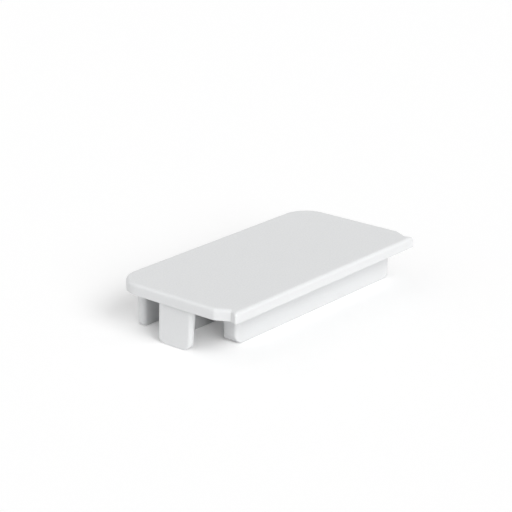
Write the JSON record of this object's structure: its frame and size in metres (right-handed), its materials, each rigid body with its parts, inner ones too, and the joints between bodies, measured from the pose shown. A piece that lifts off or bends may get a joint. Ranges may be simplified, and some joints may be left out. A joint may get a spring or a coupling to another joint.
{
  "type": "profile end cap",
  "caption": "Moulded plastic end cap: a flat cover with a nicked front lip over a drafted plug of walls, a web and splayed spring tabs.",
  "frame": {"origin": "centre of the footprint, level with the tips of the plug that the cap lies on", "axes": "+X along the cover, +Y from the lip to the back, +Z out of the cover's outer face"},
  "size_m": [0.05, 0.026, 0.009],
  "materials": {
    "white_plastic": "satin moulded, fine spark-eroded grain"
  },
  "bodies": {
    "root": {"end_cap": "white_plastic"}
  },
  "joints": []
}
